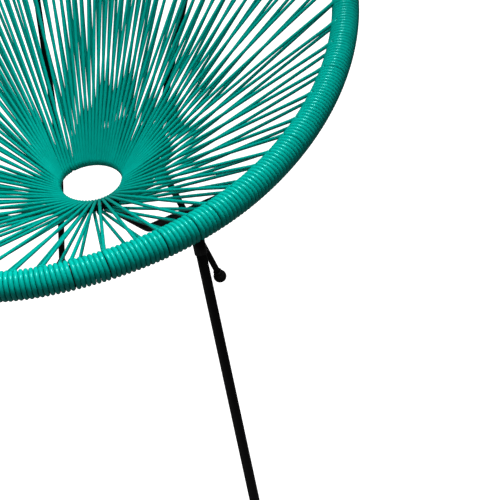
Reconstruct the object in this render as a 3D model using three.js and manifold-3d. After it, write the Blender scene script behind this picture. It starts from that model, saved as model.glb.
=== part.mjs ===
// Acapulco chair: an egg-shaped steel hoop wound with round PVC cord, a small seat ring in the middle,
// cords stretched between the two in an upper and a lower layer, and a base of bent and straight rods.
// Millimetres. +Z is up, the floor is Z = 0, the chair faces -Y and is the same on both sides of X = 0.
// Heights and distances are first laid out from the seat ring, and the whole chair is then slid along Y
// until its middle stands over the origin.

import * as THREE from "three";
import Module from "manifold-3d";
import { mergeVertices } from "three/addons/utils/BufferGeometryUtils.js";

const wasm = await Module();
wasm.setup();

// Driving dimensions

const cordDiameter = 5.8;
const clearance = 0.3;

// The hoop: its outline is an egg, folded across the arms into a seat plane and a back plane. Its seam
// lies after a number of windings, near the top of the back.
const hoopDiameter = 25;
const hoopWall = 1.5;
const hoopHalfWidth = 368;
const frontReach = 484;
const backReach = 507;
const seatPlaneLength = 549;
const foldRadius = 160;
const frontHeight = 397;
const frontDistance = 468;
const seatSlope = THREE.MathUtils.degToRad(12.2);
const backSlope = THREE.MathUtils.degToRad(60);
const tipPinchShare = 0.2;
const tipPinchPower = 8;
const seamGap = 0.6;
const seamWindingCount = 8;

// The winding on the hoop, in sleeves: one rib stands for three turns of cord.
const windingCount = 15;
const ribsPerWinding = 9;
const ribsPerBoreRing = 3;
const ribDepth = 1.3;

// The seat ring, and the pairs of cords that run from it to the hoop. The first pair is in the middle of
// the front. On the hoop the pairs stand far apart beside the seat and close together at the back, and on
// the ring they hook on closer behind than in front: each drift is a wave round half of the chair, in
// shares of the even spacing.
const ringRadius = 54;
const ringRodDiameter = 12;
const ringHeight = 279;
const ringTilt = THREE.MathUtils.degToRad(12.3);
const pairCount = 80;
const pairDriftShares = [3.8, -0.6, -0.63, 0.1, 0.3];
const hookDriftShares = [3.66, 0.43, -0.32, -0.19];
const frontRowCount = 7;
const sideRowCounts = [5, 5, 5, 5, 5, 8];

// The arms under the seat run from gussets below the ring to the hoop, and meet it part of the way round
// from its underside to its inner side. The gussets stand between rows.
const armDiameter = 12;
const armBendSide = 102;
const armBendForward = 73;
const armBendDrop = 27;
const armBendRadius = 24;
const armDrop = 19.4;
const armOverrun = 2;
const armRowCount = 1;
const armHoopShare = 0.1507;
const armHoopTurn = THREE.MathUtils.degToRad(60);
const gussetThickness = 3;
const gussetReach = 26;
const gussetInset = 5;
const gussetSideRoom = 0.7;

// The rear rods come down behind the back, turn once at the waist and stand on ball feet.
const rodDiameter = 10;
const waistSide = 72;
const waistBack = 83;
const waistRise = 7;
const rodBendRadius = 34;
const rodFootSide = 131;
const rodFootBack = 193;
const rodOverrun = 6;
const rodHoopShare = 0.4318;
const linkDiameter = 10;
const linkRowCount = 5;
const linkSetOut = 14;
const linkGussetReach = 38;
const linkDropBelowWaist = 15;

// The front legs are tubes that plug into sockets under the hoop.
const legDiameter = 13;
const legWall = 1.5;
const legFootInset = 46;
const legFootForward = 424;
const legHoopShare = 0.1032;
const socketDiameter = 16;
const socketLength = 36;
const legInsertion = 17;

// Ball feet, each with a flat under it.
const rodBallDiameter = 21;
const rodBallFlat = 10;
const rodNeckDiameter = 14;
const rodNeckLength = 13.5;
const legBallDiameter = 27;
const legBallFlat = 14;
const legNeckDiameter = 17.5;
const legNeckLength = 17;

// Shares and counts that set how finely round shapes are drawn.
const roundSides = 10;
const cordSides = 6;
const ringSides = 8;
const ringStations = 36;
const bendSteps = 5;
const ballSteps = 6;
const wrapSteps = 3;
const hoopDivisions = 1440;

// How far a cutter runs past the face that it opens.
const cutOverrun = 4;

// Materials

const steelBlack = new THREE.MeshStandardMaterial({ color: 0x0b0b0c, roughness: 0.35, metalness: 0.4 });
const cordTeal = new THREE.MeshStandardMaterial({ color: 0x0ba68f, roughness: 0.3, metalness: 0 });
const rubberBlack = new THREE.MeshStandardMaterial({ color: 0x08080a, roughness: 0.6, metalness: 0 });

// Values that follow from the driving dimensions

const cordRadius = cordDiameter / 2;
const hoopRadius = hoopDiameter / 2;
const armRadius = armDiameter / 2;
const rodRadius = rodDiameter / 2;
const ringRodRadius = ringRodDiameter / 2;
const woundRadius = hoopRadius + cordDiameter;
const cordHalfWidth = cordRadius * Math.cos(Math.PI / cordSides);
const wrapRadius = (ringRodRadius + clearance + cordRadius) / Math.cos(Math.PI / (2 * wrapSteps));

// The side profile: a straight seat, an arc across the arms and a straight back.
function profileAt(distance) {
  const arcLength = foldRadius * (backSlope - seatSlope);
  const seat = Math.min(distance, seatPlaneLength);
  const turn = Math.min(Math.max(distance - seatPlaneLength, 0), arcLength) / foldRadius;
  const back = Math.max(distance - seatPlaneLength - arcLength, 0);
  const angle = seatSlope + turn;
  return {
    y:
      seat * Math.cos(seatSlope) +
      foldRadius * (Math.sin(angle) - Math.sin(seatSlope)) +
      back * Math.cos(backSlope) -
      frontDistance,
    z:
      seat * Math.sin(seatSlope) +
      foldRadius * (Math.cos(seatSlope) - Math.cos(angle)) +
      back * Math.sin(backSlope) +
      frontHeight,
  };
}

// The centreline of the hoop, from the front tip round by +X and the top of the back.
class HoopCurve extends THREE.Curve {
  getPoint(t, target = new THREE.Vector3()) {
    const angle = 2 * Math.PI * t;
    const ahead = Math.cos(angle);
    const pinch = ahead > 0 ? tipPinchShare * ahead ** tipPinchPower : 0;
    const reach = ahead > 0 ? frontReach : backReach;
    const { y, z } = profileAt(frontReach - reach * ahead);
    return target.set(hoopHalfWidth * Math.sin(angle) * (1 - pinch), y, z);
  }
}

const hoop = new HoopCurve();
hoop.arcLengthDivisions = hoopDivisions;
const hoopLength = hoop.getLength();

// Where the hoop is at a share of its length, with the direction inwards and the one to the sitter's side.
function hoopFrame(share) {
  const round = share - Math.floor(share);
  const point = hoop.getPointAt(round);
  const along = hoop.getTangentAt(round);
  const inward = new THREE.Vector3(0, 0, ringHeight).sub(point);
  inward.addScaledVector(along, -inward.dot(along)).normalize();
  return { point, along, inward, over: new THREE.Vector3().crossVectors(along, inward) };
}

// Where the seat ring is at an angle from its front, with the directions outwards and square to the ring.
function ringFrame(angle) {
  const back = new THREE.Vector3(0, Math.cos(ringTilt), Math.sin(ringTilt));
  const over = new THREE.Vector3(0, -Math.sin(ringTilt), Math.cos(ringTilt));
  const outward = back.multiplyScalar(-Math.cos(angle)).setX(Math.sin(angle));
  const point = outward.clone().multiplyScalar(ringRadius).add(new THREE.Vector3(0, 0, ringHeight));
  return { point, outward, over };
}

const seamShare = seamWindingCount / windingCount;

// How far round the chair a pair stands, as a share of the whole way, with the drifts given.
function driftedShare(pair, driftShares) {
  const drifts = driftShares.map((depth, i) => depth * Math.sin((2 * Math.PI * (i + 1) * pair) / pairCount));
  return drifts.reduce((sum, drift) => sum + drift, pair) / pairCount;
}

// The angle on the seat ring at which a pair hooks on.
function hookAngle(pair) {
  return 2 * Math.PI * driftedShare(pair, hookDriftShares);
}

// The rows: each starts at an edge half a pair before its first pair.
const rowEdges = [frontRowCount / 2];
sideRowCounts.forEach((count, i) => rowEdges.push(rowEdges[i] + count));
const armRingPair = rowEdges[armRowCount];
const linkRingPair = rowEdges[linkRowCount];

// Geometry helpers

function circleShape(radius, sides) {
  const points = [];
  for (let i = 0; i < sides; i++) {
    const angle = (2 * Math.PI * i) / sides;
    points.push(new THREE.Vector2(radius * Math.cos(angle), radius * Math.sin(angle)));
  }
  return points;
}

// A path through chosen points, stepped point by point, so that only a bend has points close together.
class SteppedPath extends THREE.Curve {
  constructor(points, side = null) {
    super();
    this.points = points;
    this.side = side;
  }
  getPoint(t, target = new THREE.Vector3()) {
    const place = t * (this.points.length - 1);
    const index = Math.min(Math.floor(place), this.points.length - 2);
    return target.lerpVectors(this.points[index], this.points[index + 1], place - index);
  }
  getUtoTmapping(u) {
    return u;
  }
  getTangent(t, target = new THREE.Vector3()) {
    const index = Math.round(t * (this.points.length - 1));
    const here = this.points[index];
    target.set(0, 0, 0);
    if (index > 0) target.add(here.clone().sub(this.points[index - 1]).normalize());
    if (index < this.points.length - 1) target.add(this.points[index + 1].clone().sub(here).normalize());
    return target.normalize();
  }
  // With a side given, every section keeps the same two faces turned to that side.
  computeFrenetFrames(segments, closed) {
    if (!this.side) return super.computeFrenetFrames(segments, closed);
    const tangents = this.points.map((_, i) => this.getTangent(i / segments));
    const binormals = tangents.map((along) =>
      this.side.clone().addScaledVector(along, -this.side.dot(along)).normalize(),
    );
    const normals = tangents.map((along, i) => binormals[i].clone().cross(along));
    return { tangents, normals, binormals };
  }
}

// A round bar or tube through the points given; a bore makes it a tube that is open at both ends.
function bar(points, radius, sides, boreRadius = 0, side = null) {
  const shape = new THREE.Shape(circleShape(radius, sides));
  if (boreRadius > 0) shape.holes.push(new THREE.Path(circleShape(boreRadius, sides).reverse()));
  return new THREE.ExtrudeGeometry(shape, {
    steps: points.length - 1,
    bevelEnabled: false,
    extrudePath: new SteppedPath(points, side),
  });
}

// Points of a path that turns once at a corner, on an arc that is tangent to both straight runs.
function bentPath(start, corner, end, radius) {
  const first = start.clone().sub(corner).normalize();
  const second = end.clone().sub(corner).normalize();
  const half = first.angleTo(second) / 2;
  const setback = radius / Math.tan(half);
  const centre = first.clone().add(second).normalize().multiplyScalar(radius / Math.sin(half)).add(corner);
  const from = first.clone().multiplyScalar(setback).add(corner).sub(centre);
  const to = second.clone().multiplyScalar(setback).add(corner).sub(centre);
  const sweep = from.angleTo(to);
  const points = [start];
  for (let i = 0; i <= bendSteps; i++) {
    const share = i / bendSteps;
    const a = Math.sin((1 - share) * sweep) / Math.sin(sweep);
    const b = Math.sin(share * sweep) / Math.sin(sweep);
    points.push(from.clone().multiplyScalar(a).addScaledVector(to, b).add(centre));
  }
  points.push(end);
  return points;
}

// A closed skin over rings of points that follow each other round the body and meet again at the first.
function skinOfRings(rings) {
  const sides = rings[0].length;
  const positions = rings.flat().flatMap((p) => [p.x, p.y, p.z]);
  const index = [];
  rings.forEach((_, i) => {
    const here = i * sides;
    const next = ((i + 1) % rings.length) * sides;
    for (let j = 0; j < sides; j++) {
      const k = (j + 1) % sides;
      index.push(here + j, here + k, next + k, here + j, next + k, next + j);
    }
  });
  const geometry = new THREE.BufferGeometry();
  geometry.setAttribute("position", new THREE.Float32BufferAttribute(positions, 3));
  geometry.setIndex(index);
  return geometry;
}

// The radius of a hole whose flats clear a round bar.
function holeRadius(radius, sides) {
  return (radius + clearance) / Math.cos(Math.PI / sides);
}

// A ring of points about a centre, in the plane of two directions.
function ringPoints(centre, first, second, radius, sides) {
  return circleShape(radius, sides).map((p) =>
    centre.clone().addScaledVector(first, p.x).addScaledVector(second, p.y),
  );
}

function solid(geometry) {
  const bare = geometry.clone();
  bare.deleteAttribute("normal");
  bare.deleteAttribute("uv");
  const merged = mergeVertices(bare);
  return new wasm.Manifold(
    new wasm.Mesh({
      numProp: 3,
      vertProperties: new Float32Array(merged.attributes.position.array),
      triVerts: new Uint32Array(merged.index.array),
    }),
  );
}

function geometryOf(manifold) {
  const mesh = manifold.getMesh();
  const geometry = new THREE.BufferGeometry();
  geometry.setAttribute("position", new THREE.BufferAttribute(new Float32Array(mesh.vertProperties), 3));
  geometry.setIndex(new THREE.BufferAttribute(new Uint32Array(mesh.triVerts), 1));
  geometry.computeVertexNormals();
  return geometry;
}

// The body with the small sealed pockets between neighbouring cords filled in.
function withoutPockets(body) {
  const whole = body.decompose().filter((piece) => piece.volume() > 0);
  if (whole.length !== 1) throw new Error("the cords of a row do not hold together");
  return whole[0];
}

const chair = new THREE.Group();

function addNode(name, geometry, material) {
  const mesh = new THREE.Mesh(geometry, material.clone());
  mesh.name = name;
  chair.add(mesh);
}

const sides = [
  { name: "left", sign: -1 },
  { name: "right", sign: 1 },
];

// The joints of the base with the hoop and the ring

// A bar's end lapped on the hoop: the bar's axis passes its own radius outside the tube, straight below it
// or turned from there towards its inner side.
function lapOnHoop(share, sign, radius, turn = 0) {
  const { point, inward, over } = hoopFrame(sign * share);
  const reach = hoopRadius + clearance + radius;
  return point.clone()
    .addScaledVector(over, -reach * Math.cos(turn))
    .addScaledVector(inward, reach * Math.sin(turn));
}

function extended(from, to, length) {
  return to.clone().addScaledVector(to.clone().sub(from).normalize(), length);
}

function armCorner(sign) {
  return new THREE.Vector3(sign * armBendSide, -armBendForward, ringHeight - armBendDrop);
}

function waist(sign) {
  return new THREE.Vector3(sign * waistSide, waistBack, ringHeight + waistRise);
}

// Where an arm or a link begins below the ring, a way outside the middle of its rod.
function startUnderRing(ringPair, sign, setOut) {
  const { point, outward, over } = ringFrame(sign * hookAngle(ringPair));
  return point.clone().addScaledVector(outward, setOut).addScaledVector(over, -armDrop);
}

function armPath(sign) {
  const start = startUnderRing(armRingPair, sign, -gussetInset);
  const corner = armCorner(sign);
  const end = extended(corner, lapOnHoop(armHoopShare, sign, armRadius, armHoopTurn), armOverrun);
  return bentPath(start, corner, end, armBendRadius);
}

function footCentreHeight(ball, flat) {
  return Math.sqrt((ball / 2) ** 2 - (flat / 2) ** 2);
}

function rodPath(sign) {
  const corner = waist(sign);
  const start = extended(corner, lapOnHoop(rodHoopShare, sign, rodRadius), rodOverrun);
  const height = footCentreHeight(rodBallDiameter, rodBallFlat);
  const end = new THREE.Vector3(sign * rodFootSide, rodFootBack, height);
  return bentPath(start, corner, end, rodBendRadius);
}

// A link runs from under the ring to the rod, a little below the waist, and stops at the rod's face.
function linkPath(sign) {
  const start = startUnderRing(linkRingPair, sign, linkSetOut);
  const corner = waist(sign);
  const path = rodPath(sign);
  const foot = path[path.length - 1];
  const share = linkDropBelowWaist / (corner.z - foot.z);
  const joint = corner.clone().lerp(foot, share);
  return [start, extended(start, joint, -(rodRadius + linkDiameter / 2))];
}

function legAxis(sign) {
  const top = hoopFrame(sign * legHoopShare).point;
  const height = footCentreHeight(legBallDiameter, legBallFlat);
  const foot = new THREE.Vector3(sign * (hoopHalfWidth - legFootInset), -legFootForward, height);
  return { top, foot };
}

// The part of a leg's axis between two distances from the hoop's centre, measured down the leg.
function legStretch(sign, from, to) {
  const { top, foot } = legAxis(sign);
  return [extended(foot, top, -from), extended(foot, top, -to)];
}

// The hoop: one tube bent round to itself, with a butt seam

function hoopStations() {
  const stations = [];
  for (let w = 0; w < windingCount; w++) {
    for (const rib of boreRibs()) stations.push((w + rib / ribsPerWinding) / windingCount);
  }
  return stations;
}

// The ribs of a winding at which its bore, and the tube inside it, have a ring of points.
function boreRibs() {
  const ribs = [];
  for (let rib = 0; rib < ribsPerWinding; rib += ribsPerBoreRing) ribs.push(rib);
  return ribs;
}

function hoopTube() {
  const halfGap = seamGap / 2 / hoopLength;
  const shares = hoopStations()
    .map((s) => (s - seamShare + 1) % 1)
    .filter((s) => s > 2 * halfGap && s < 1 - 2 * halfGap)
    .sort((a, b) => a - b);
  const stations = [halfGap, ...shares, 1 - halfGap].map((s) => hoopFrame(s + seamShare));
  const ring = (f, radius) => ringPoints(f.point, f.inward, f.over, radius, ringSides);
  const outer = stations.map((f) => ring(f, hoopRadius));
  const inner = stations.map((f) => ring(f, hoopRadius - hoopWall)).reverse();
  return skinOfRings([...inner, ...outer]);
}

addNode("hoop_tube", hoopTube(), steelBlack);

// The winding on the hoop

function windingSleeve(index) {
  const start = index / windingCount;
  const gap = clearance / 2 / hoopLength;
  const length = 1 / windingCount;
  const place = (rib) => {
    const share = start + (length * rib) / ribsPerWinding;
    return Math.min(Math.max(share, start + gap), start + length - gap);
  };
  const ring = (rib, radius) => {
    const f = hoopFrame(place(rib));
    return ringPoints(f.point, f.inward, f.over, radius, ringSides);
  };
  const outer = [];
  for (let half = 0; half <= 2 * ribsPerWinding; half++) {
    outer.push(ring(half / 2, half % 2 ? woundRadius : woundRadius - ribDepth));
  }
  const bore = [...boreRibs(), ribsPerWinding].map((rib) => ring(rib, holeRadius(hoopRadius, ringSides)));
  return skinOfRings([...bore.reverse(), ...outer]);
}

// What passes through the winding: the sockets of the legs, the arms and the rear rods.
const windingCutters = sides.flatMap(({ sign }) => {
  const arm = armPath(sign);
  const rod = rodPath(sign);
  return [
    bar(legStretch(sign, 0, socketLength + cutOverrun),
      holeRadius(socketDiameter / 2, roundSides), roundSides),
    bar([arm[arm.length - 2], extended(arm[arm.length - 2], arm[arm.length - 1], clearance)],
      holeRadius(armRadius, roundSides), roundSides),
    bar([extended(rod[1], rod[0], clearance), rod[1]], holeRadius(rodRadius, roundSides), roundSides),
  ].map(solid);
});

for (let w = 0; w < windingCount; w++) {
  const sleeve = windingCutters.reduce((body, cutter) => body.subtract(cutter), solid(windingSleeve(w)));
  addNode("rim_winding_" + String(w + 1).padStart(2, "0"), geometryOf(sleeve), cordTeal);
}

// The seat ring

const ringGeometry = new THREE.TorusGeometry(ringRadius, ringRodRadius, ringSides, ringStations);
ringGeometry.rotateZ(-Math.PI / 2).rotateX(ringTilt).translate(0, 0, ringHeight);
addNode("seat_ring", ringGeometry, steelBlack);

// The cords of the seat and back, in rows that hold together where the cords lie close on the ring

// The angle that a row leaves free at its edge on the ring, for its neighbour or for a gusset.
function edgeMargin(edge) {
  const gusset = [armRingPair, linkRingPair].includes(Math.abs(edge));
  const room = cordHalfWidth + clearance + (gusset ? gussetThickness / 2 + gussetSideRoom : 0);
  return room / (ringRadius - (gusset ? gussetInset : wrapRadius));
}

// A cord comes down from the hoop's upper face, turns round the inside of the ring and goes back to the
// hoop's lower face. The winding on the hoop takes up both of its ends, side by side.
function cordPair(ringAngle, share, sign) {
  const ring = ringFrame(ringAngle);
  const rim = hoopFrame(share);
  const along = rim.point.clone().sub(ring.point).normalize();
  const square = ring.over.clone().addScaledVector(along, -ring.over.dot(along)).normalize();
  const rise = hoopRadius + cordRadius;
  const slant = Math.abs(along.dot(rim.along));
  const reach = Math.sqrt(woundRadius ** 2 - hoopRadius ** 2) + cordRadius * slant;
  const stop = reach / Math.sqrt(1 - slant ** 2) + 2 * clearance;
  const turn = [];
  for (let i = 0; i <= wrapSteps; i++) {
    const angle = (Math.PI * i) / wrapSteps;
    turn.push(
      ring.point.clone()
        .addScaledVector(square, wrapRadius * Math.cos(angle))
        .addScaledVector(along, -wrapRadius * Math.sin(angle)),
    );
  }
  const [upper, lower] = [1, -1].map((layer) => {
    const { point, over } = hoopFrame(share + (layer * sign * cordRadius) / hoopLength);
    const from = layer > 0 ? turn[0] : turn[wrapSteps];
    return extended(from, point.clone().addScaledVector(over, layer * rise), -stop);
  });
  return bar([upper, ...turn, lower], cordRadius, cordSides, 0, along.cross(square));
}

// A row holds the pairs between two edges, which are half pairs counted from the middle of the front.
function cordRow(from, to) {
  const low = hookAngle(from) + edgeMargin(from);
  const high = hookAngle(to) - edgeMargin(to);
  const pairs = [];
  for (let pair = from + 1 / 2; pair < to; pair++) {
    const angle = low + ((high - low) * (pair - from - 1 / 2)) / (to - from - 1);
    const sign = pair < 0 || pair > pairCount / 2 ? -1 : 1;
    pairs.push(solid(cordPair(angle, driftedShare(pair, pairDriftShares), sign)));
  }
  return geometryOf(withoutPockets(pairs.reduce((body, pair) => body.add(pair))));
}

addNode("seat_cords_front", cordRow(-rowEdges[0], rowEdges[0]), cordTeal);
sideRowCounts.forEach((_, i) => {
  addNode("seat_cords_right_" + (i + 1), cordRow(rowEdges[i], rowEdges[i + 1]), cordTeal);
  addNode("seat_cords_left_" + (i + 1), cordRow(-rowEdges[i + 1], -rowEdges[i]), cordTeal);
});
const lastEdge = rowEdges[sideRowCounts.length];
addNode("seat_cords_back", cordRow(lastEdge, pairCount - lastEdge), cordTeal);

// Arms, links and their gussets

// A gusset stands on its bar, square to the ring, from the bar's start on, and reaches up to the ring
// between two rows of cords.
function gusset(ringPair, sign, path, barRadius, setOut, farReach) {
  const { point, outward, over } = ringFrame(sign * hookAngle(ringPair));
  const run = path[1].clone().sub(path[0]);
  const slope = run.dot(over) / run.dot(outward);
  const lowest = barRadius * Math.hypot(1, slope) + clearance - armDrop;
  const foot = (reach) => slope * (reach - setOut) + lowest;
  const top = -ringRodRadius - clearance;
  const shape = new THREE.Shape([
    new THREE.Vector2(setOut, foot(setOut)),
    new THREE.Vector2(farReach, foot(farReach)),
    new THREE.Vector2(ringRodRadius, top),
    new THREE.Vector2(Math.min(setOut, 0), top),
  ]);
  const plate = new THREE.ExtrudeGeometry(shape, { depth: gussetThickness, bevelEnabled: false });
  plate.translate(0, 0, -gussetThickness / 2);
  plate.applyMatrix4(new THREE.Matrix4().makeBasis(outward, over, outward.clone().cross(over)));
  return plate.translate(point.x, point.y, point.z);
}

for (const { name, sign } of sides) {
  const arm = armPath(sign);
  const link = linkPath(sign);
  addNode("seat_arm_" + name, bar(arm, armRadius, roundSides), steelBlack);
  addNode("arm_gusset_" + name,
    gusset(armRingPair, sign, arm, armRadius, -gussetInset, gussetReach), steelBlack);
  addNode("ring_link_" + name, bar(link, linkDiameter / 2, roundSides), steelBlack);
  addNode("link_gusset_" + name,
    gusset(linkRingPair, sign, link, linkDiameter / 2, linkSetOut, linkGussetReach), steelBlack);
}

// Rear rods, front legs and their sockets

for (const { name, sign } of sides) {
  addNode("rear_rod_" + name, bar(rodPath(sign), rodRadius, roundSides), steelBlack);
  const { top, foot } = legAxis(sign);
  const leg = bar([extended(foot, top, -legInsertion), foot], legDiameter / 2, roundSides,
    legDiameter / 2 - legWall);
  addNode("front_leg_" + name, leg, steelBlack);
  const rim = hoopFrame(sign * legHoopShare);
  const tube = bar(
    [extended(rim.point, rim.point.clone().sub(rim.along), socketDiameter),
      extended(rim.point, rim.point.clone().add(rim.along), socketDiameter)],
    holeRadius(hoopRadius, roundSides), roundSides);
  const bore = holeRadius(legDiameter / 2, roundSides);
  const socket = solid(bar(legStretch(sign, 0, socketLength), socketDiameter / 2, roundSides, bore))
    .subtract(solid(tube));
  addNode("leg_socket_" + name, geometryOf(socket), steelBlack);
}

// Ball feet

function ballFoot(axisTop, centre, ball, flat, neck, neckLength, stemRadius) {
  const radius = ball / 2;
  const rise = footCentreHeight(ball, flat);
  const lowest = Math.asin(rise / radius);
  const profile = [new THREE.Vector2(0, -rise)];
  for (let i = 0; i <= ballSteps; i++) {
    const angle = -lowest + ((lowest + Math.PI / 2) * i) / ballSteps;
    profile.push(new THREE.Vector2(i < ballSteps ? radius * Math.cos(angle) : 0, radius * Math.sin(angle)));
  }
  const body = new THREE.LatheGeometry(profile, roundSides).rotateX(Math.PI / 2);
  body.translate(centre.x, centre.y, centre.z);
  const collar = bar([centre, extended(axisTop, centre, -neckLength)], neck / 2, roundSides);
  const bore = bar(
    [extended(axisTop, centre, clearance), extended(axisTop, centre, -neckLength - cutOverrun)],
    holeRadius(stemRadius, roundSides), roundSides);
  return geometryOf(solid(body).add(solid(collar)).subtract(solid(bore)));
}

for (const { name, sign } of sides) {
  const rod = rodPath(sign);
  const rearFoot = ballFoot(rod[rod.length - 2], rod[rod.length - 1],
    rodBallDiameter, rodBallFlat, rodNeckDiameter, rodNeckLength, rodRadius);
  addNode("rear_foot_" + name, rearFoot, rubberBlack);
  const { top, foot } = legAxis(sign);
  const frontFoot = ballFoot(top, foot,
    legBallDiameter, legBallFlat, legNeckDiameter, legNeckLength, legDiameter / 2);
  addNode("front_foot_" + name, frontFoot, rubberBlack);
}

// Slide the chair along Y until its middle stands over the origin.
const reach = new THREE.Box3().setFromObject(chair);
chair.position.y = -(reach.min.y + reach.max.y) / 2;

export default chair;
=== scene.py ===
import math

import bpy
import numpy as np
from mathutils import Matrix, Vector


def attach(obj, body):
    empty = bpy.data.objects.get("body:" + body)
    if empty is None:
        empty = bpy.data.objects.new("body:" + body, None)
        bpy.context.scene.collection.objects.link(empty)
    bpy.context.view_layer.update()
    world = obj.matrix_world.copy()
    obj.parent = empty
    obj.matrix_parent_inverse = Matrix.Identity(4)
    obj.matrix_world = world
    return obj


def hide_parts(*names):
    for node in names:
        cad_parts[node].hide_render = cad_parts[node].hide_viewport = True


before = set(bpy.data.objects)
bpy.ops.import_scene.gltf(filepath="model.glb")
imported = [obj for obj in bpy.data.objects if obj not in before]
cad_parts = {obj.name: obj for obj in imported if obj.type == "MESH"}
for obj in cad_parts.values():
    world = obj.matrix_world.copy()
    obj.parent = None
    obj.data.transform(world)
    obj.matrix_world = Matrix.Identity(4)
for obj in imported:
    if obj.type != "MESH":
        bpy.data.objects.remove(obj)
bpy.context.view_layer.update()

# The acapulco chair. Lengths are in millimetres, laid out from the seat ring as in the part's source, and
# to_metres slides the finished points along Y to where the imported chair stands.

# The steel base, as it was bent and welded

CHAIR_SLIDE = 70.095
HOOP_RADIUS = 12.5
HOOP_HALF_WIDTH = 368
FRONT_REACH = 484
BACK_REACH = 507
SEAT_PLANE_LENGTH = 549
FOLD_RADIUS = 160
FRONT_HEIGHT = 397
FRONT_DISTANCE = 468
SEAT_SLOPE = math.radians(12.2)
BACK_SLOPE = math.radians(60)
TIP_PINCH = 0.2
TIP_PINCH_POWER = 8

RING_RADIUS = 54
RING_ROD_RADIUS = 6
RING_HEIGHT = 279
RING_TILT = math.radians(12.3)
RING_CENTRE = np.array([0, 0, RING_HEIGHT], float)

ARM_RADIUS = 6
ARM_BEND = (102, -73, RING_HEIGHT - 27)
ARM_BEND_RADIUS = 24
ARM_DROP = 19.4
ARM_OVERRUN = 2
ARM_RING_PAIR = 8.5
ARM_HOOP_SHARE = 0.1507
ARM_HOOP_TURN = math.radians(60)
GUSSET_THICKNESS = 3
GUSSET_REACH = 26
GUSSET_INSET = 5

ROD_RADIUS = 5
WAIST = (72, 83, RING_HEIGHT + 7)
ROD_BEND_RADIUS = 34
ROD_FOOT = (131, 193)
ROD_OVERRUN = 6
ROD_HOOP_SHARE = 0.4318
LINK_RADIUS = 5
LINK_RING_PAIR = 28.5
LINK_SET_OUT = 14
LINK_GUSSET_REACH = 38
LINK_DROP_BELOW_WAIST = 15
LINK_OVERLAP = 1

LEG_RADIUS = 6.5
LEG_FOOT = (322, -424)
LEG_HOOP_SHARE = 0.1032
LEG_INSERTION = 17
SOCKET_RADIUS = 8
SOCKET_LENGTH = 36
SOCKET_EDGE = 0.8
SOCKET_PLAY = 0.1
SOCKET_MOUTH = 4

# Ball feet: radius of the ball, radius of the flat below, radius of the neck, height of the neck's rim
ROD_BALL = (10.5, 5, 7, 13.5)
LEG_BALL = (13.5, 7, 8.75, 17)

# Moulded details: the rounding of the foot's edges, the fillet and the bore of its neck, and how far up the
# ball, in shares of its radius, the foot starts to lean with its bar
FOOT_EDGE = 0.8
FLAT_EDGE = (0.2, 0.15)
BALL_START = 0.06
NECK_FILLET = (0.4, 1.3)
FOOT_PLAY = 0.15
FOOT_MOUTH = 3
LEAN_START = 0.2
CLOSING_RADIUS = 0.05

# Welds and softened edges
WELD_GAP = 0.3
WELD_SINK = 0.8
WELD_RIPPLE = 1.7
RIPPLE_DEPTH = 0.12
PLATE_BEAD = 1.1
RING_BEAD = 1.0
LINK_BEAD = 1.2
BEAD_RISE = 0.6
BEAD_STOP = 1
BAR_CHAMFER = 0.6
PLATE_CHAMFER = 0.4
PLATE_TIP = (1, 1.6)

# The cord: how it is wound on the hoop and strung over the seat ring. TURN_PLAN says how many turns lie
# between one pair of strands and the next, from the front middle to the back. The winding gapes at the
# LOOSE_PAIRS. A pair hooks on the ring at an angle that runs evenly between those of HOOK_PAIRS.

WOUND_CORD_RADIUS = 3.35
WOUND_CORD_SQUEEZE = 0.92
STRUNG_CORD_RADIUS = 2.4
TURN_STEPS = 24
TAPER_LENGTH = 22
LEAVING_LENGTH = 16
LEAVING_STEP = 0.002
PAIR_COUNT = 80
TURN_COUNT = 442
TURN_PLAN = (7, 6, 6, 7, 7, 5, 7, 5, 7, 8, 5, 6, 6, 9, 9, 9, 8, 8, 6, 6, 5, 5, 5, 4,
             5, 4, 5, 4, 5, 4, 5, 5, 4, 4, 3, 3, 4, 4, 3, 3)
LOOSE_PAIRS = (3, 4, 6, 7, 8, 12, 15, 19, 22, 26, 31, 35)
LOOSE_GAP = 0.13
LOOSE_REACH = 1.5
EVENED_SHARE = 0.85
EVENED_POWER = 3
HOOK_PAIRS = (0, 17, 26, 32, 40)
HOOK_DEGREES = (0, 94.5, 114, 146, 180)
HOOK_TWIST = math.radians(5.5)
PLATE_DRIFTS = (3.66, 0.43, -0.32, -0.19)
WINDING_COUNT = 15
ROW_EDGES = (3.5, 8.5, 13.5, 18.5, 23.5, 28.5, 36.5)
GUSSET_SIDE_ROOM = 0.3
GUSSET_PUSH = 0.6

# Points round each kind of bar

CORD_SIDES = 10
HOOP_SIDES = 20
RING_SIDES = 16
BAR_SIDES = 24
TURNED_SIDES = 32
BEAD_SIDES = 8

# The white sweep and the room round it

FLOOR_REACH = 12
FLOOR_GREY = 0.14
FLOOR_GLOW = 1.5
FLOOR_GLOW_SHARE = 0.9
ROOM_LIGHT = 0.14
ROOM_REFLECTION = 0.04


# Where things are on the hoop and on the ring

def unit(vectors):
    return vectors / np.linalg.norm(vectors, axis=-1, keepdims=True)


def across(vectors, directions):
    """The part of each vector that is square to its direction, at unit length."""
    return unit(vectors - np.sum(vectors * directions, axis=-1, keepdims=True) * directions)


def lengths_along(points):
    """The length of a path up to each of its points."""
    return np.concatenate([[0], np.cumsum(np.linalg.norm(np.diff(points, axis=0), axis=1))])


def smooth(amount):
    """A soft step from 0 to 1."""
    amount = np.clip(amount, 0, 1)
    return amount * amount * (3 - 2 * amount)


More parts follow.
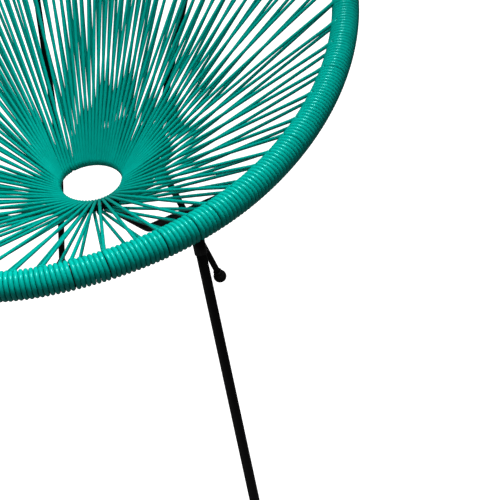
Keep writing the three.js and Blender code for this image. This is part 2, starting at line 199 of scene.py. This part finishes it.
def hoop_outline(turn):
    """Points of the hoop's centreline at shares of a full turn, not yet evened out along its length."""
    angle = 2 * np.pi * turn
    ahead = np.cos(angle)
    pinch = np.where(ahead > 0, TIP_PINCH * np.abs(ahead) ** TIP_PINCH_POWER, 0)
    distance = FRONT_REACH - np.where(ahead > 0, FRONT_REACH, BACK_REACH) * ahead
    arc = FOLD_RADIUS * (BACK_SLOPE - SEAT_SLOPE)
    seat = np.minimum(distance, SEAT_PLANE_LENGTH)
    slope = SEAT_SLOPE + np.clip(distance - SEAT_PLANE_LENGTH, 0, arc) / FOLD_RADIUS
    back = np.maximum(distance - SEAT_PLANE_LENGTH - arc, 0)
    x = HOOP_HALF_WIDTH * np.sin(angle) * (1 - pinch)
    y = (seat * np.cos(SEAT_SLOPE) + FOLD_RADIUS * (np.sin(slope) - np.sin(SEAT_SLOPE))
         + back * np.cos(BACK_SLOPE) - FRONT_DISTANCE)
    z = (seat * np.sin(SEAT_SLOPE) + FOLD_RADIUS * (np.cos(SEAT_SLOPE) - np.cos(slope))
         + back * np.sin(BACK_SLOPE) + FRONT_HEIGHT)
    return np.stack([x, y, z], -1)


OUTLINE_TURNS = np.linspace(0, 1, 5761)
OUTLINE_LENGTHS = lengths_along(hoop_outline(OUTLINE_TURNS))
HOOP_LENGTH = OUTLINE_LENGTHS[-1]


def hoop_frame(share):
    """Point on the hoop at a share of its length, with the directions along it, inwards and to the sitter."""
    share = np.asarray(share, float) % 1
    turn = np.interp(share * HOOP_LENGTH, OUTLINE_LENGTHS, OUTLINE_TURNS)
    point = hoop_outline(turn)
    along = unit(hoop_outline(turn + 1e-4) - hoop_outline(turn - 1e-4))
    inward = across(RING_CENTRE - point, along)
    return point, along, inward, np.cross(along, inward)


def ring_frame(angle):
    """Point on the seat ring at an angle from its front, with the directions outwards and square to it."""
    back = np.array([0, math.cos(RING_TILT), math.sin(RING_TILT)])
    over = np.array([0, -math.sin(RING_TILT), math.cos(RING_TILT)])
    outward = -math.cos(angle) * back + np.array([math.sin(angle), 0, 0])
    return RING_CENTRE + RING_RADIUS * outward, outward, over


# Mesh making

def to_metres(points):
    return (np.asarray(points, float) + np.array([0, CHAIR_SLIDE, 0])) / 1000


def make_piece(name, vertices, faces, material, replaced, flat_faces):
    """A piece of the chair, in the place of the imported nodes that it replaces."""
    mesh = bpy.data.meshes.new(name)
    mesh.from_pydata(to_metres(vertices).tolist(), [], faces)
    mesh.validate()
    rounded = np.ones(len(mesh.polygons), bool)
    rounded[flat_faces] = False
    mesh.polygons.foreach_set("use_smooth", rounded)
    mesh.materials.append(material)
    mesh.update()
    piece = bpy.data.objects.new(name, mesh)
    bpy.context.scene.collection.objects.link(piece)
    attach(piece, "root")
    if replaced:
        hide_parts(*replaced)


class MeshParts:
    """Vertices and faces gathered from several closed shells for one piece."""

    def __init__(self):
        self.vertices = []
        self.faces = []
        self.flat_faces = []
        self.count = 0

    def add(self, rings, closed=False):
        """A skin over rings of points, capped at both ends unless the rings meet again."""
        rings = np.asarray(rings, float)
        amount, sides = rings.shape[:2]
        start = self.count
        self.vertices.append(rings.reshape(-1, 3))
        self.count += amount * sides
        spans = amount if closed else amount - 1
        first = (np.arange(spans)[:, None] * sides + np.arange(sides)) % (amount * sides)
        beside = np.arange(spans)[:, None] * sides + (np.arange(sides) + 1) % sides
        quads = np.stack([first, beside, beside + sides, first + sides], -1) % (amount * sides)
        self.faces.extend((quads.reshape(-1, 4) + start).tolist())
        if not closed:
            self.flat_faces.append(len(self.faces))
            self.faces.append((start + np.arange(sides)[::-1]).tolist())
            self.flat_faces.append(len(self.faces))
            self.faces.append((start + (amount - 1) * sides + np.arange(sides)).tolist())

    def piece(self, name, material, slot_name, replaced=()):
        make_piece(name, np.concatenate(self.vertices), self.faces, material, replaced,
                   self.flat_faces)


def wheel(first, second, sides):
    """A ring of directions that starts at the first one and turns towards the second."""
    angles = 2 * np.pi * np.arange(sides)[:, None] / sides
    return np.cos(angles) * first[..., None, :] + np.sin(angles) * second[..., None, :]


def tube_rings(points, radii, side, sides, squeeze=1.0):
    """Rings of points round a path. Side is a direction that every ring keeps its first point turned to, and
    squeeze narrows the rings along it."""
    points = np.asarray(points, float)
    tangents = np.gradient(points, axis=0)
    steps = unit(np.diff(points, axis=0))
    tangents[1:-1] = steps[1:] + steps[:-1]
    tangents = unit(tangents)
    first = across(np.broadcast_to(side, points.shape), tangents)
    second = np.cross(tangents, first)
    radii = np.broadcast_to(radii, len(points))[:, None, None]
    return points[:, None] + radii * wheel(squeeze * first, second, sides)


def bent_path(start, corner, end, radius):
    """Points from start to end with one bend of a given radius at the corner."""
    start, corner, end = (np.asarray(p, float) for p in (start, corner, end))
    first, second = unit(start - corner), unit(end - corner)
    half = math.acos(first @ second) / 2
    setback = radius / math.tan(half)
    centre = corner + unit(first + second) * radius / math.sin(half)
    a, b = corner + first * setback - centre, corner + second * setback - centre
    sweep = math.acos(unit(a) @ unit(b))
    bend = [centre + (a * math.sin((1 - s) * sweep) + b * math.sin(s * sweep)) / math.sin(sweep)
            for s in np.linspace(0, 1, 14)]
    run_in = [start + (bend[0] - start) * s for s in np.linspace(0, 1, 6)[:-1]]
    run_out = [bend[-1] + (end - bend[-1]) * s for s in np.linspace(0, 1, 8)[1:]]
    return np.array(run_in + bend + run_out)


def chamfered(points, radius, at_end):
    """A bar's path and radii, with a small chamfer on its first end and, if asked, on its last one."""
    points = list(points)
    points.insert(1, points[0] + unit(points[1] - points[0]) * BAR_CHAMFER)
    radii = [radius - BAR_CHAMFER] + [radius] * (len(points) - 1)
    if at_end:
        points.insert(-1, points[-1] + unit(points[-2] - points[-1]) * BAR_CHAMFER)
        radii.append(radius - BAR_CHAMFER)
    return np.array(points), np.array(radii)


def extended(start, end, length):
    """A point on the line from start to end, a length past the end."""
    start, end = np.asarray(start, float), np.asarray(end, float)
    return end + unit(end - start) * length


def mirrored(point, sign):
    return np.array([sign * point[0], point[1], point[2]], float)


# Paths of the bars

def lap_on_hoop(share, sign, radius, turn=0.0):
    point, _, inward, over = hoop_frame(sign * share)
    return point + (HOOP_RADIUS + WELD_GAP + radius) * (math.sin(turn) * inward - math.cos(turn) * over)


def plate_angle(pair):
    """The angle on the seat ring of a gusset plate that stands between two pairs."""
    even = 2 * math.pi * pair / PAIR_COUNT
    drift = sum(depth * math.sin(wave * even) for wave, depth in enumerate(PLATE_DRIFTS, 1))
    return even + 2 * math.pi * drift / PAIR_COUNT


def hook_angle(pair):
    """The angle on the seat ring at which a pair hooks on."""
    pair = pair if pair <= PAIR_COUNT / 2 else pair - PAIR_COUNT
    return math.copysign(math.radians(np.interp(abs(pair), HOOK_PAIRS, HOOK_DEGREES)), pair)


def start_under_ring(ring_pair, sign, set_out):
    point, outward, over = ring_frame(sign * plate_angle(ring_pair))
    return point + outward * set_out - over * ARM_DROP


def foot_height(ball):
    return math.sqrt(ball[0] ** 2 - ball[1] ** 2)


def arm_path(sign):
    corner = mirrored(ARM_BEND, sign)
    end = extended(corner, lap_on_hoop(ARM_HOOP_SHARE, sign, ARM_RADIUS, ARM_HOOP_TURN), ARM_OVERRUN)
    return bent_path(start_under_ring(ARM_RING_PAIR, sign, -GUSSET_INSET), corner, end, ARM_BEND_RADIUS)


def rod_path(sign):
    corner = mirrored(WAIST, sign)
    start = extended(corner, lap_on_hoop(ROD_HOOP_SHARE, sign, ROD_RADIUS), ROD_OVERRUN)
    return bent_path(start, corner, mirrored((*ROD_FOOT, foot_height(ROD_BALL)), sign), ROD_BEND_RADIUS)


def link_path(sign):
    start = start_under_ring(LINK_RING_PAIR, sign, LINK_SET_OUT)
    corner = mirrored(WAIST, sign)
    foot = rod_path(sign)[-1]
    joint = corner + (foot - corner) * LINK_DROP_BELOW_WAIST / (corner[2] - foot[2])
    return np.linspace(start, extended(start, joint, LINK_OVERLAP - ROD_RADIUS), 6)


def leg_axis(sign):
    top = hoop_frame(sign * LEG_HOOP_SHARE)[0]
    return top, mirrored((*LEG_FOOT, foot_height(LEG_BALL)), sign)


# Materials

def new_group(name, inputs, outputs):
    group = bpy.data.node_groups.new(name, "ShaderNodeTree")
    for kind, label, value in inputs:
        socket = group.interface.new_socket(label, in_out="INPUT", socket_type="NodeSocket" + kind)
        socket.default_value = value
    for kind, label in outputs:
        group.interface.new_socket(label, in_out="OUTPUT", socket_type="NodeSocket" + kind)
    return group, group.nodes.new("NodeGroupInput"), group.nodes.new("NodeGroupOutput")


def add_node(tree, kind, settings=None, **values):
    node = tree.nodes.new("ShaderNode" + kind)
    for key, value in (settings or {}).items():
        setattr(node, key, value)
    for key, value in values.items():
        node.inputs[key.replace("_", " ")].default_value = value
    return node


def mottle_group():
    """Slow and fine unevenness of a moulded or coated surface: two masks and a bumped normal."""
    group, into, out = new_group(
        "surface_mottle",
        [("Float", "Broad Scale", 40.0), ("Float", "Fine Scale", 900.0), ("Float", "Bump Strength", 0.2),
         ("Float", "Bump Distance", 0.0001)],
        [("Float", "Broad"), ("Float", "Fine"), ("Vector", "Normal")])
    place = add_node(group, "TexCoord")
    broad = add_node(group, "TexNoise", Detail=3.0, Roughness=0.55)
    fine = add_node(group, "TexNoise", Detail=2.0, Roughness=0.5)
    bump = add_node(group, "Bump")
    link = group.links.new
    for noise, label in ((broad, "Broad Scale"), (fine, "Fine Scale")):
        link(place.outputs["Object"], noise.inputs["Vector"])
        link(into.outputs[label], noise.inputs["Scale"])
    link(fine.outputs["Fac"], bump.inputs["Height"])
    link(into.outputs["Bump Strength"], bump.inputs["Strength"])
    link(into.outputs["Bump Distance"], bump.inputs["Distance"])
    link(broad.outputs["Fac"], out.inputs["Broad"])
    link(fine.outputs["Fac"], out.inputs["Fine"])
    link(bump.outputs["Normal"], out.inputs["Normal"])
    return group


SURFACE_MOTTLE = mottle_group()


def ranged(tree, mask, low, high):
    """A value that runs from low to high over the middle of a mask."""
    ramp = add_node(tree, "MapRange", {"clamp": True}, From_Min=0.3, From_Max=0.7, To_Min=low, To_Max=high)
    tree.links.new(mask, ramp.inputs["Value"])
    return ramp.outputs["Result"]


def blended(tree, mask, low, high):
    """A colour that runs from low to high over the middle of a mask."""
    mix = add_node(tree, "Mix", {"data_type": "RGBA"})
    mix.inputs[6].default_value = (*low, 1)
    mix.inputs[7].default_value = (*high, 1)
    tree.links.new(ranged(tree, mask, 0, 1), mix.inputs[0])
    return mix.outputs[2]


def finish_material(name, colours, roughness, mottle_values, **plain):
    """A surface that runs between two colours and two roughnesses with the mottle, whose values are its
    broad scale, its fine scale, and the strength and distance of its bump."""
    material = bpy.data.materials.new(name)
    material.use_nodes = True
    tree = material.node_tree
    shader = tree.nodes["Principled BSDF"]
    mottle = tree.nodes.new("ShaderNodeGroup")
    mottle.node_tree = SURFACE_MOTTLE
    for label, value in zip(("Broad Scale", "Fine Scale", "Bump Strength", "Bump Distance"), mottle_values):
        mottle.inputs[label].default_value = value
    tree.links.new(blended(tree, mottle.outputs["Broad"], *colours), shader.inputs["Base Color"])
    tree.links.new(ranged(tree, mottle.outputs["Fine"], *roughness), shader.inputs["Roughness"])
    tree.links.new(mottle.outputs["Normal"], shader.inputs["Normal"])
    for key, value in plain.items():
        shader.inputs[key.replace("_", " ")].default_value = value
    return material


CORD_PVC = finish_material(
    "teal_pvc_cord", colours=((0, 0.42, 0.345), (0, 0.475, 0.395)), roughness=(0.17, 0.24),
    mottle_values=(60, 1400, 0.12, 0.00006), Specular_IOR_Level=0.5, IOR=1.45,
    Specular_Tint=(0.25, 1, 0.95, 1))
POWDER_COAT = finish_material(
    "black_powder_coat", colours=((0.002, 0.002, 0.0022), (0.0035, 0.0035, 0.004)), roughness=(0.3, 0.4),
    mottle_values=(25, 1100, 0.25, 0.00012), Specular_IOR_Level=0.3)
FOOT_RUBBER = finish_material(
    "black_foot_rubber", colours=((0.008, 0.008, 0.0085), (0.013, 0.013, 0.0135)), roughness=(0.5, 0.65),
    mottle_values=(50, 1600, 0.3, 0.0001), Specular_IOR_Level=0.35)


# The cord: one long piece wound round the hoop, that leaves it for each pair of strands

def turns_of_pairs():
    """The turn of the winding at which each pair leaves the hoop, from the middle of the front round."""
    turns = [0]
    for count in TURN_PLAN:
        turns.append(turns[-1] + count)
    return turns + [TURN_COUNT - turn for turn in reversed(turns[1:-1])]


PAIR_TURNS = turns_of_pairs()
LOOSE_TURNS = np.array([PAIR_TURNS[pair] + 0.5
                        for loose in LOOSE_PAIRS for pair in (loose, PAIR_COUNT - loose)])


def winding_point(turns):
    """Points of the cord on the hoop, with the direction along the hoop. A turn starts on the outside of
    the hoop, goes in along the bottom, comes up on the inside and goes back out over the top. On the inside
    the turns between two pairs stand evenly over the room that the pairs leave, and on the outside the
    winding gapes a little at the loose pairs."""
    turns = np.asarray(turns, float)
    swing = 2 * math.pi * (turns - np.floor(turns)) - math.pi
    starts = np.array(PAIR_TURNS + [TURN_COUNT])
    index = np.clip(np.searchsorted(starts, turns, "right") - 1, 0, PAIR_COUNT - 1)
    count = starts[index + 1] - starts[index]
    number = np.floor(turns) - starts[index]
    spread = np.where(number > 0, (number - 0.5) * count / (count - 1) - number, 0)
    weight = ((1 + np.cos(swing)) / 2) ** EVENED_POWER
    away = turns[..., None] - LOOSE_TURNS
    away = np.take_along_axis(away, np.abs(away).argmin(-1)[..., None], -1)[..., 0]
    loosened = LOOSE_GAP * np.sign(away) * np.exp(-np.abs(away) / LOOSE_REACH) * (1 - np.cos(swing)) / 2
    share = (turns - 0.5 + EVENED_SHARE * spread * weight + loosened) / TURN_COUNT
    point, along, inward, over = hoop_frame(share)
    radial = np.cos(swing)[..., None] * inward + np.sin(swing)[..., None] * over
    return point + (HOOP_RADIUS + WOUND_CORD_RADIUS) * radial, along


def turn_towards(target, turn, layer):
    """The place on a turn of the winding where a straight strand to the target leaves it. The layer is 1 for
    the upper strand of a pair and -1 for the lower one."""
    swing = layer * math.pi / 2
    for _ in range(4):
        at = turn + 0.5 + swing / (2 * math.pi)
        point, _, inward, over = hoop_frame((at - 0.5) / TURN_COUNT)
        a, b = (target - point) @ inward, (target - point) @ over
        swing = math.atan2(b, a) + layer * math.acos((HOOP_RADIUS + WOUND_CORD_RADIUS) / math.hypot(a, b))
    return turn + 0.5 + swing / (2 * math.pi)


def under_angle(angle):
    """The angle at which a lower strand leaves the ring, pushed aside where a gusset stands."""
    plates = ((ARM_RING_PAIR, RING_RADIUS - GUSSET_INSET), (LINK_RING_PAIR, RING_RADIUS))
    for gusset_pair, inner_end in plates:
        room = (STRUNG_CORD_RADIUS + GUSSET_THICKNESS / 2 + GUSSET_SIDE_ROOM) / inner_end
        for side in (1, -1):
            away = (angle - side * plate_angle(gusset_pair) + math.pi) % (2 * math.pi) - math.pi
            pushed = room + GUSSET_PUSH * abs(away)
            if abs(away) < pushed:
                return angle + math.copysign(pushed - abs(away), away)
    return angle


def bezier(a, b, c, d, amount):
    t = np.linspace(0, 1, amount)[:, None]
    return a * (1 - t) ** 3 + 3 * b * t * (1 - t) ** 2 + 3 * c * t ** 2 * (1 - t) + d * t ** 3


def strand_start(turn, target, layer):
    """The first stretch of a strand, where it bends from the winding's lean to the straight run."""
    at = turn_towards(target, turn, layer)
    here, _ = winding_point(at)
    ahead, _ = winding_point(at - LEAVING_STEP * layer)
    leaving = unit(ahead - here)
    run = unit(target - here)
    far = here + run * LEAVING_LENGTH
    return at, bezier(here, here + leaving * LEAVING_LENGTH / 3, far - run * LEAVING_LENGTH / 3, far, 6)


def strung_pair(pair):
    """The points of one pair: in over the ring, half a turn round the inside of its rod, and back out."""
    turn = PAIR_TURNS[pair]
    rim_point = hoop_frame(turn / TURN_COUNT)[0]
    radius = RING_ROD_RADIUS + STRUNG_CORD_RADIUS
    above = hook_angle(pair) + HOOK_TWIST
    below = under_angle(hook_angle(pair) - HOOK_TWIST)
    hook = []
    for swing in np.linspace(0, math.pi, 13):
        ring_point, _, ring_over = ring_frame(above + (below - above) * (1 - math.cos(swing)) / 2)
        along = unit(rim_point - ring_point)
        lifted = across(ring_over, along)
        hook.append(ring_point + radius * (math.cos(swing) * lifted - math.sin(swing) * along))
    leave, lower = strand_start(turn, hook[-1], -1)
    arrive, upper = strand_start(turn, hook[0], 1)
    upper_run = np.linspace(upper[-1], hook[0], 9)[1:-1]
    lower_run = np.linspace(hook[-1], lower[-1], 9)[1:-1]
    return leave, arrive, np.concatenate([upper, upper_run, hook, lower_run, lower[::-1]])


def cord_radii(points):
    """The cord thins where it is pulled straight, over a short way from each end."""
    gone = lengths_along(points)
    blend = smooth(np.minimum(gone, gone[-1] - gone) / TAPER_LENGTH)
    return WOUND_CORD_RADIUS + (STRUNG_CORD_RADIUS - WOUND_CORD_RADIUS) * blend


STRUNG = [strung_pair(pair) for pair in range(PAIR_COUNT)]


def row_name(pair):
    """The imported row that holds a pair."""
    passed = sum(edge <= min(pair, PAIR_COUNT - pair) for edge in ROW_EDGES)
    if passed == 0:
        return "seat_cords_front"
    if passed == len(ROW_EDGES):
        return "seat_cords_back"
    return f"seat_cords_{'right' if pair < PAIR_COUNT / 2 else 'left'}_{passed}"


rows = {}
for pair in range(PAIR_COUNT):
    name = row_name(pair)
    points = STRUNG[pair][2]
    side = hoop_frame(PAIR_TURNS[pair] / TURN_COUNT)[1]
    rows.setdefault(name, MeshParts()).add(tube_rings(points, cord_radii(points), side, CORD_SIDES))
for name, parts in rows.items():
    parts.piece("strung_" + name, CORD_PVC, "cord", [name])

# The winding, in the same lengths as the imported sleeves, open where a pair leaves the hoop and comes back
winding_ends = [0.5 + round(TURN_COUNT * i / WINDING_COUNT) for i in range(WINDING_COUNT + 1)]
openings = [(leave, arrive) for leave, arrive, _ in STRUNG]
openings.append((openings[0][0] + TURN_COUNT, openings[0][1] + TURN_COUNT))
for i, (low, high) in enumerate(zip(winding_ends, winding_ends[1:])):
    parts = MeshParts()
    cuts = [low] + [turn for opening in openings for turn in opening if low < turn < high] + [high]
    starts_open = any(leave <= low < arrive for leave, arrive in openings)
    for start, end in list(zip(cuts, cuts[1:]))[int(starts_open)::2]:
        turns = np.linspace(start, end, max(3, round((end - start) * TURN_STEPS) + 1))
        points, along = winding_point(turns)
        parts.add(tube_rings(points, WOUND_CORD_RADIUS, along, CORD_SIDES, WOUND_CORD_SQUEEZE))
    name = f"rim_winding_{i + 1:02d}"
    parts.piece("wound_" + name, CORD_PVC, "cord", [name])


# Steel: the hoop tube and the seat ring

def hoop_tube():
    parts = MeshParts()
    point, _, inward, over = hoop_frame(np.arange(360) / 360)
    parts.add(point[:, None] + HOOP_RADIUS * wheel(inward, over, HOOP_SIDES), closed=True)
    parts.piece("bent_hoop_tube", POWDER_COAT, "frame_steel", ["hoop_tube"])


def seat_ring():
    parts = MeshParts()
    rings = []
    for angle in 2 * np.pi * np.arange(96) / 96:
        point, outward, over = ring_frame(angle)
        rings.append(point + RING_ROD_RADIUS * wheel(outward, -over, RING_SIDES))
    parts.add(rings, closed=True)
    parts.piece("rolled_seat_ring", POWDER_COAT, "frame_steel", ["seat_ring"])


hoop_tube()
seat_ring()


# Steel: bars, links, gussets, sockets and their welds

def bar(name, points, radius, replaced, at_end=True):
    """A round bar. Its rings start square to the plane of its bend, or upwards where it is straight."""
    parts = MeshParts()
    path, radii = chamfered(points, radius, at_end)
    side = np.cross(path[1] - path[0], path[-1] - path[-2])
    side = np.array([0, 0, 1.0]) if np.linalg.norm(side) < 1e-3 else side
    parts.add(tube_rings(path, radii, side, BAR_SIDES))
    parts.piece(name, POWDER_COAT, "frame_steel", replaced)


def weld_bead(parts, points, radius, side):
    """A bead of weld along a path, with the scales that the torch leaves."""
    gone = lengths_along(points)
    radii = radius * (1 + RIPPLE_DEPTH * np.abs(np.sin(np.pi * gone / WELD_RIPPLE)))
    parts.add(tube_rings(points, radii, side, BEAD_SIDES))


def saddle_points(centre, axis, radius, run, run_direction, run_radius):
    """The line on a round bar, the run, where another bar of a given radius meets it."""
    axis, run_direction = unit(axis), unit(run_direction)
    first = unit(np.cross(axis, run_direction))
    second = np.cross(axis, first)
    drop = axis - (axis @ run_direction) * run_direction
    points = []
    for angle in np.linspace(0, 2 * math.pi, 72):
        at = centre + radius * (math.cos(angle) * first + math.sin(angle) * second)
        gap = at - run
        gap = gap - (gap @ run_direction) * run_direction
        a, b, c = drop @ drop, 2 * gap @ drop, gap @ gap - run_radius ** 2
        points.append(at + axis * (-b - math.sqrt(max(b * b - 4 * a * c, 0))) / (2 * a))
    return np.array(points)


def gusset(kind, side_name, ring_pair, sign, path, bar_radius, set_out, far_reach):
    """A plate on its bar that carries the ring, with softened edges, and a bead along both sides."""
    parts = MeshParts()
    point, outward, over = ring_frame(sign * plate_angle(ring_pair))
    run = path[1] - path[0]
    slope = (run @ over) / (run @ outward)

    def foot(reach):
        return slope * (reach - set_out) + bar_radius * math.hypot(1, slope) - ARM_DROP - WELD_SINK

    top = -RING_ROD_RADIUS + WELD_SINK
    inner_end = min(set_out, 0)
    corners = np.array([(set_out, foot(set_out)), (far_reach, foot(far_reach)),
                        (far_reach - PLATE_TIP[0], foot(far_reach) + PLATE_TIP[1]),
                        (RING_ROD_RADIUS, top), (inner_end, top)])
    thick = unit(np.cross(outward, over))
    to_middle = unit(corners.mean(0) - corners)
    half, edge = GUSSET_THICKNESS / 2, PLATE_CHAMFER

    def placed(flat_points, depth):
        return [point + outward * x + over * y + thick * depth for x, y in flat_points]

    parts.add([placed(corners + to_middle * inset, depth)
               for depth, inset in ((-half, edge), (-half + edge, 0), (half - edge, 0), (half, edge))])
    on_bar = [(x, foot(x) + BEAD_RISE) for x in np.linspace(set_out, far_reach, 40)]
    on_ring = [(x, top) for x in np.linspace(inner_end, RING_ROD_RADIUS - BEAD_STOP, 16)]
    for depth in (-half, half):
        weld_bead(parts, placed(on_bar, depth), PLATE_BEAD, thick)
        weld_bead(parts, placed(on_ring, depth), RING_BEAD, thick)
    parts.piece(f"{kind}_gusset_plate_{side_name}", POWDER_COAT, "frame_steel",
                [f"{kind}_gusset_{side_name}"])


def link_weld(side_name, link, rod):
    """The bead where a link meets the rear rod below its waist."""
    parts = MeshParts()
    down = unit(rod[-1] - rod[-2])
    saddle = saddle_points(link[0], link[-1] - link[0], LINK_RADIUS + WELD_GAP, rod[-2], down, ROD_RADIUS)
    weld_bead(parts, saddle, LINK_BEAD, down)
    parts.piece("link_weld_" + side_name, POWDER_COAT, "frame_steel")


def leg_socket(side_name, top, foot):
    """The open tube under the hoop that the front leg plugs into, with a turned rim."""
    parts = MeshParts()
    axis = unit(top - foot)
    first = across(np.array([1.0, 0, 0]), axis)
    ring = wheel(first, np.cross(axis, first), TURNED_SIDES)[::-1]
    rim, bore = SOCKET_RADIUS - SOCKET_EDGE, LEG_RADIUS + SOCKET_PLAY
    stations = [(0, SOCKET_RADIUS), (SOCKET_LENGTH - SOCKET_EDGE, SOCKET_RADIUS), (SOCKET_LENGTH, rim),
                (SOCKET_LENGTH, bore), (SOCKET_LENGTH - SOCKET_MOUTH, bore)]
    parts.add([extended(foot, top, -at) + radius * ring for at, radius in stations])
    parts.piece("socket_tube_" + side_name, POWDER_COAT, "frame_steel", ["leg_socket_" + side_name])


def foot_profile(ball):
    """Half outline of a ball foot, from the middle of its flat up to the rim of its neck."""
    radius, flat, neck, neck_top = ball
    rise = foot_height(ball)
    lowest = math.asin(rise / radius)
    join = math.acos(min(1, (neck + NECK_FILLET[0]) / radius))
    below = [(0, -rise), (flat - FOOT_EDGE, -rise), (flat - FLAT_EDGE[0], FLAT_EDGE[1] - rise)]
    round_ball = [(radius * math.cos(angle), radius * math.sin(angle))
                  for angle in np.linspace(BALL_START - lowest, join, 16)]
    above = [(neck, radius * math.sin(join) + NECK_FILLET[1]), (neck, neck_top - FOOT_EDGE),
             (neck - FOOT_EDGE, neck_top)]
    return below + round_ball + above


def ball_foot(name, bar_start, centre, ball, bar_radius, replaced):
    """A moulded foot: the ball stands upright on its flat, and the neck follows the bar."""
    parts = MeshParts()
    axis = unit(bar_start - centre)
    upright = np.array([0, 0, 1.0])
    radius, _, _, neck_top = ball
    bore = bar_radius + FOOT_PLAY
    rings = []
    for distance, height in foot_profile(ball) + [(bore, neck_top), (bore, neck_top - FOOT_MOUTH)]:
        lean = smooth((height / radius - LEAN_START) / (1 - LEAN_START))
        up = unit(upright * (1 - lean) + axis * lean)
        first = across(np.array([1.0, 0, 0]), up)
        ring = wheel(first, np.cross(up, first), TURNED_SIDES)
        rings.append(centre + up * height + max(distance, CLOSING_RADIUS) * ring)
    parts.add(rings)
    parts.piece(name, FOOT_RUBBER, "rubber", replaced)


for side_name, sign in (("left", -1), ("right", 1)):
    arm, rod, link = arm_path(sign), rod_path(sign), link_path(sign)
    bar("seat_arm_bar_" + side_name, arm, ARM_RADIUS, ["seat_arm_" + side_name])
    bar("rear_rod_bar_" + side_name, rod, ROD_RADIUS, ["rear_rod_" + side_name])
    bar("ring_link_bar_" + side_name, link, LINK_RADIUS, ["ring_link_" + side_name], at_end=False)
    gusset("arm", side_name, ARM_RING_PAIR, sign, arm, ARM_RADIUS, -GUSSET_INSET, GUSSET_REACH)
    gusset("link", side_name, LINK_RING_PAIR, sign, link, LINK_RADIUS, LINK_SET_OUT, LINK_GUSSET_REACH)
    link_weld(side_name, link, rod)
    top, foot = leg_axis(sign)
    leg = np.linspace(extended(foot, top, -LEG_INSERTION), foot, 10)
    bar("front_leg_tube_" + side_name, leg, LEG_RADIUS, ["front_leg_" + side_name])
    leg_socket(side_name, top, foot)
    ball_foot("rear_ball_foot_" + side_name, rod[-2], rod[-1], ROD_BALL, ROD_RADIUS,
              ["rear_foot_" + side_name])
    ball_foot("front_ball_foot_" + side_name, top, foot, LEG_BALL, LEG_RADIUS, ["front_foot_" + side_name])


# Floor, light and camera

def floor_material():
    """A floor that takes the chair's shadow and is otherwise as white as the photo's ground: seen straight, a
    share of it glows."""
    material = bpy.data.materials.new("white_sweep")
    material.use_nodes = True
    tree = material.node_tree
    tree.nodes.remove(tree.nodes["Principled BSDF"])
    out = tree.nodes["Material Output"]
    diffuse = add_node(tree, "BsdfDiffuse", Color=(FLOOR_GREY, FLOOR_GREY, FLOOR_GREY, 1))
    glow = add_node(tree, "Emission", Strength=FLOOR_GLOW)
    rays = add_node(tree, "LightPath")
    seen_share = add_node(tree, "Math", {"operation": "MULTIPLY"})
    seen_share.inputs[1].default_value = FLOOR_GLOW_SHARE
    mix = add_node(tree, "MixShader")
    link = tree.links.new
    link(rays.outputs["Is Camera Ray"], seen_share.inputs[0])
    link(seen_share.outputs[0], mix.inputs[0])
    link(diffuse.outputs[0], mix.inputs[1])
    link(glow.outputs[0], mix.inputs[2])
    link(mix.outputs[0], out.inputs["Surface"])
    return material


def make_floor():
    corners = [(FLOOR_REACH * x, FLOOR_REACH * y, 0) for x, y in ((-1, -1), (1, -1), (1, 1), (-1, 1))]
    mesh = bpy.data.meshes.new("floor")
    mesh.from_pydata(corners, [], [(0, 1, 2, 3)])
    mesh.materials.append(floor_material())
    floor = bpy.data.objects.new("floor", mesh)
    bpy.context.scene.collection.objects.link(floor)


def make_world():
    """A room that is white to the camera and dim to the chair, and dimmer still in its reflections."""
    world = bpy.data.worlds.new("studio")
    bpy.context.scene.world = world
    world.use_nodes = True
    tree = world.node_tree
    background = tree.nodes["Background"]
    background.inputs["Color"].default_value = (1, 1, 1, 1)
    rays = add_node(tree, "LightPath")
    dim = add_node(tree, "MapRange", To_Min=ROOM_LIGHT, To_Max=ROOM_REFLECTION)
    level = add_node(tree, "MapRange", To_Max=1)
    tree.links.new(rays.outputs["Is Glossy Ray"], dim.inputs["Value"])
    tree.links.new(rays.outputs["Is Camera Ray"], level.inputs["Value"])
    tree.links.new(dim.outputs["Result"], level.inputs["To Min"])
    tree.links.new(level.outputs["Result"], background.inputs["Strength"])


def make_lamp(name, place, target, size, power, spread):
    """A square lamp turned to a target. Lengths are in metres, and the spread of its beam is in degrees."""
    light = bpy.data.lights.new(name, "AREA")
    light.shape = "SQUARE"
    light.size = size
    light.energy = power
    light.spread = math.radians(spread)
    lamp = bpy.data.objects.new(name, light)
    lamp.location = place
    lamp.rotation_euler = (Vector(target) - Vector(place)).to_track_quat("-Z", "Y").to_euler()
    bpy.context.scene.collection.objects.link(lamp)


def make_camera():
    camera = bpy.data.cameras.new("photo_view")
    camera.sensor_width = 36
    camera.lens = 132.887
    viewer = bpy.data.objects.new("photo_view", camera)
    right = Vector((0.9785599601, 0.1991176519, -0.0526551542))
    up = Vector((-0.0591058614, 0.5163906946, 0.8543109197))
    back = Vector((0.1972990160, -0.8328822313, 0.5170882779))
    turn = Matrix((right, up, back)).transposed().to_4x4()
    place = Vector((754.27857, -2220.13517 + CHAIR_SLIDE, 1559.40050)) / 1000
    viewer.matrix_world = Matrix.Translation(place) @ turn
    bpy.context.scene.collection.objects.link(viewer)
    bpy.context.scene.camera = viewer


make_floor()
make_world()
make_lamp("overhead_softbox", place=(0.08, -0.2, 2.7), target=(-0.12, -0.6, 0.4), size=0.85, power=12.4,
          spread=66)
make_lamp("high_front_lamp", place=(0.3, -1.5, 2.6), target=(0, 0, 0.4), size=0.4, power=3, spread=180)
make_camera()
bpy.context.scene.view_settings.view_transform = "Standard"
